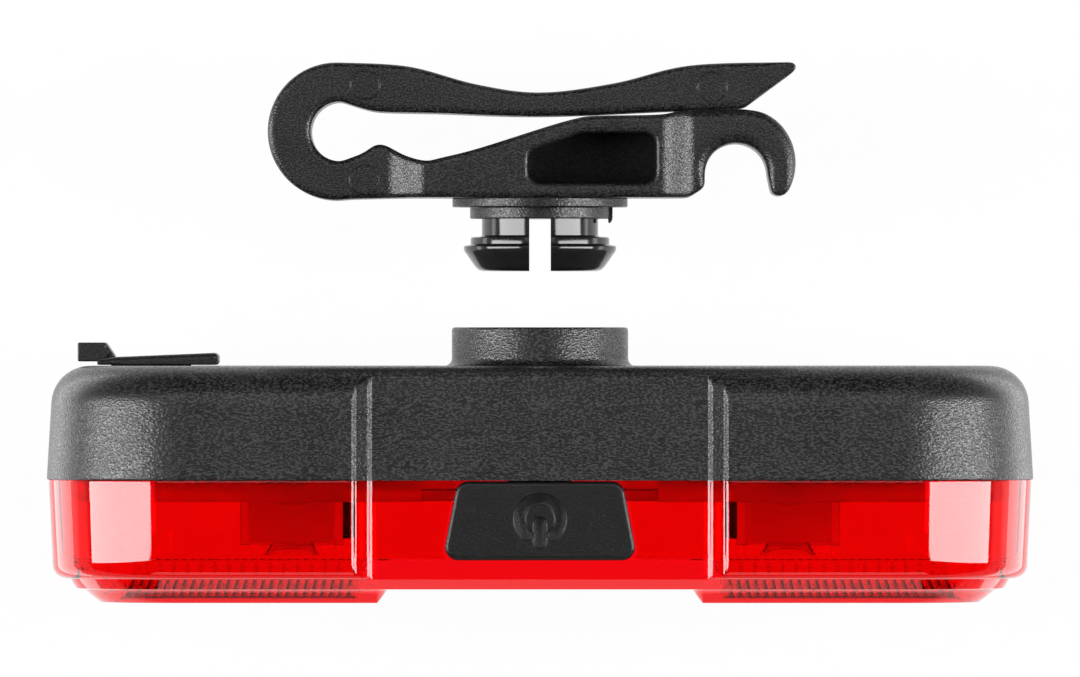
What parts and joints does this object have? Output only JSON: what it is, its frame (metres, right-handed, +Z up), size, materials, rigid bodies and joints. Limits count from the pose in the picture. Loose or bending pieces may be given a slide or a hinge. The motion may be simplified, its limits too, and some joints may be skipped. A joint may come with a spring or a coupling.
{
  "type": "bike rear light",
  "caption": "Clip-on bicycle rear light with a black housing, a red lens with raised lobes, a rubber button, a charging flap and a snap-in spring clip.",
  "frame": {"origin": "centre of the socket's mouth, on the rim of the boss on the light's back", "axes": "+Y out of the socket, towards the clip; the lens faces -Y; +Z up, the button's side; +X to the right seen from above"},
  "size_m": [0.092, 0.0503, 0.038],
  "materials": {
    "housing_plastic": "fine moulded grain",
    "clip_plastic": "satin moulded",
    "lens_red": "polished transparent",
    "reflex_red": "prismatic",
    "button_rubber": "blasted",
    "seal_rubber": "matte",
    "white_plastic": "satin",
    "board_laminate": "solder mask",
    "steel": "zinc plated",
    "chip_black": "moulded epoxy",
    "clear_plastic": "polished clear",
    "chip_ceramic": "fired",
    "cell_foil": "foil pouch",
    "foam": "foam"
  },
  "bodies": {
    "light": {"rear_housing": "housing_plastic", "lens": "lens_red", "lens_seal": "seal_rubber", "inner_bezel": "white_plastic", "circuit_board": "board_laminate", "board_screws": "steel", "led_left": "clear_plastic", "led_right": "clear_plastic", "lamp_cup_left": "white_plastic", "lamp_cup_right": "white_plastic", "collimator_left": "clear_plastic", "collimator_right": "clear_plastic", "prism_plate_left": "reflex_red", "prism_plate_right": "reflex_red", "battery_cell": "cell_foil", "battery_pad": "foam", "battery_tabs": "steel", "usb_socket_shell": "steel", "usb_socket_tongue": "chip_black", "tact_switch_body": "chip_black", "controller_chip": "chip_black", "charge_led": "clear_plastic", "chip_parts": "chip_ceramic", "port_anchor": "seal_rubber"},
    "button": {"power_button": "button_rubber"},
    "plunger": {"switch_plunger": "white_plastic"},
    "flap": {"port_cover": "seal_rubber"},
    "clip": {"clip_base": "clip_plastic", "snap_prongs": "clip_plastic"},
    "arm": {"clip_arm": "clip_plastic"}
  },
  "joints": [
    {"name": "clip_plug_in", "type": "slide", "parent": "light", "child": "clip", "axis": [0, -1, 0], "range_m": [0, 0.0112], "deforming": ["snap_prongs"]},
    {"name": "arm_spring", "type": "hinge", "parent": "clip", "child": "arm", "pos_m": [-0.02541, 0.01828, 0], "axis": [0, 0, 1], "range_deg": [0, 8], "stiffness_Nm_per_rad": 1.5},
    {"name": "button_press", "type": "slide", "parent": "light", "child": "button", "axis": [0, 0, -1], "range_m": [0, 0.0005], "stiffness_N_per_m": 3000},
    {"name": "plunger_press", "type": "slide", "parent": "light", "child": "plunger", "axis": [0, 0, -1], "range_m": [0, 0.00065]},
    {"name": "flap_hinge", "type": "hinge", "parent": "light", "child": "flap", "pos_m": [-0.0305, -0.0031, 0], "axis": [0, 0, -1], "range_deg": [0, 90], "stiffness_Nm_per_rad": 0.003}
  ],
  "couplings": [
    {"joint": "plunger_press", "follows": "button_press", "ratio": 1}
  ]
}
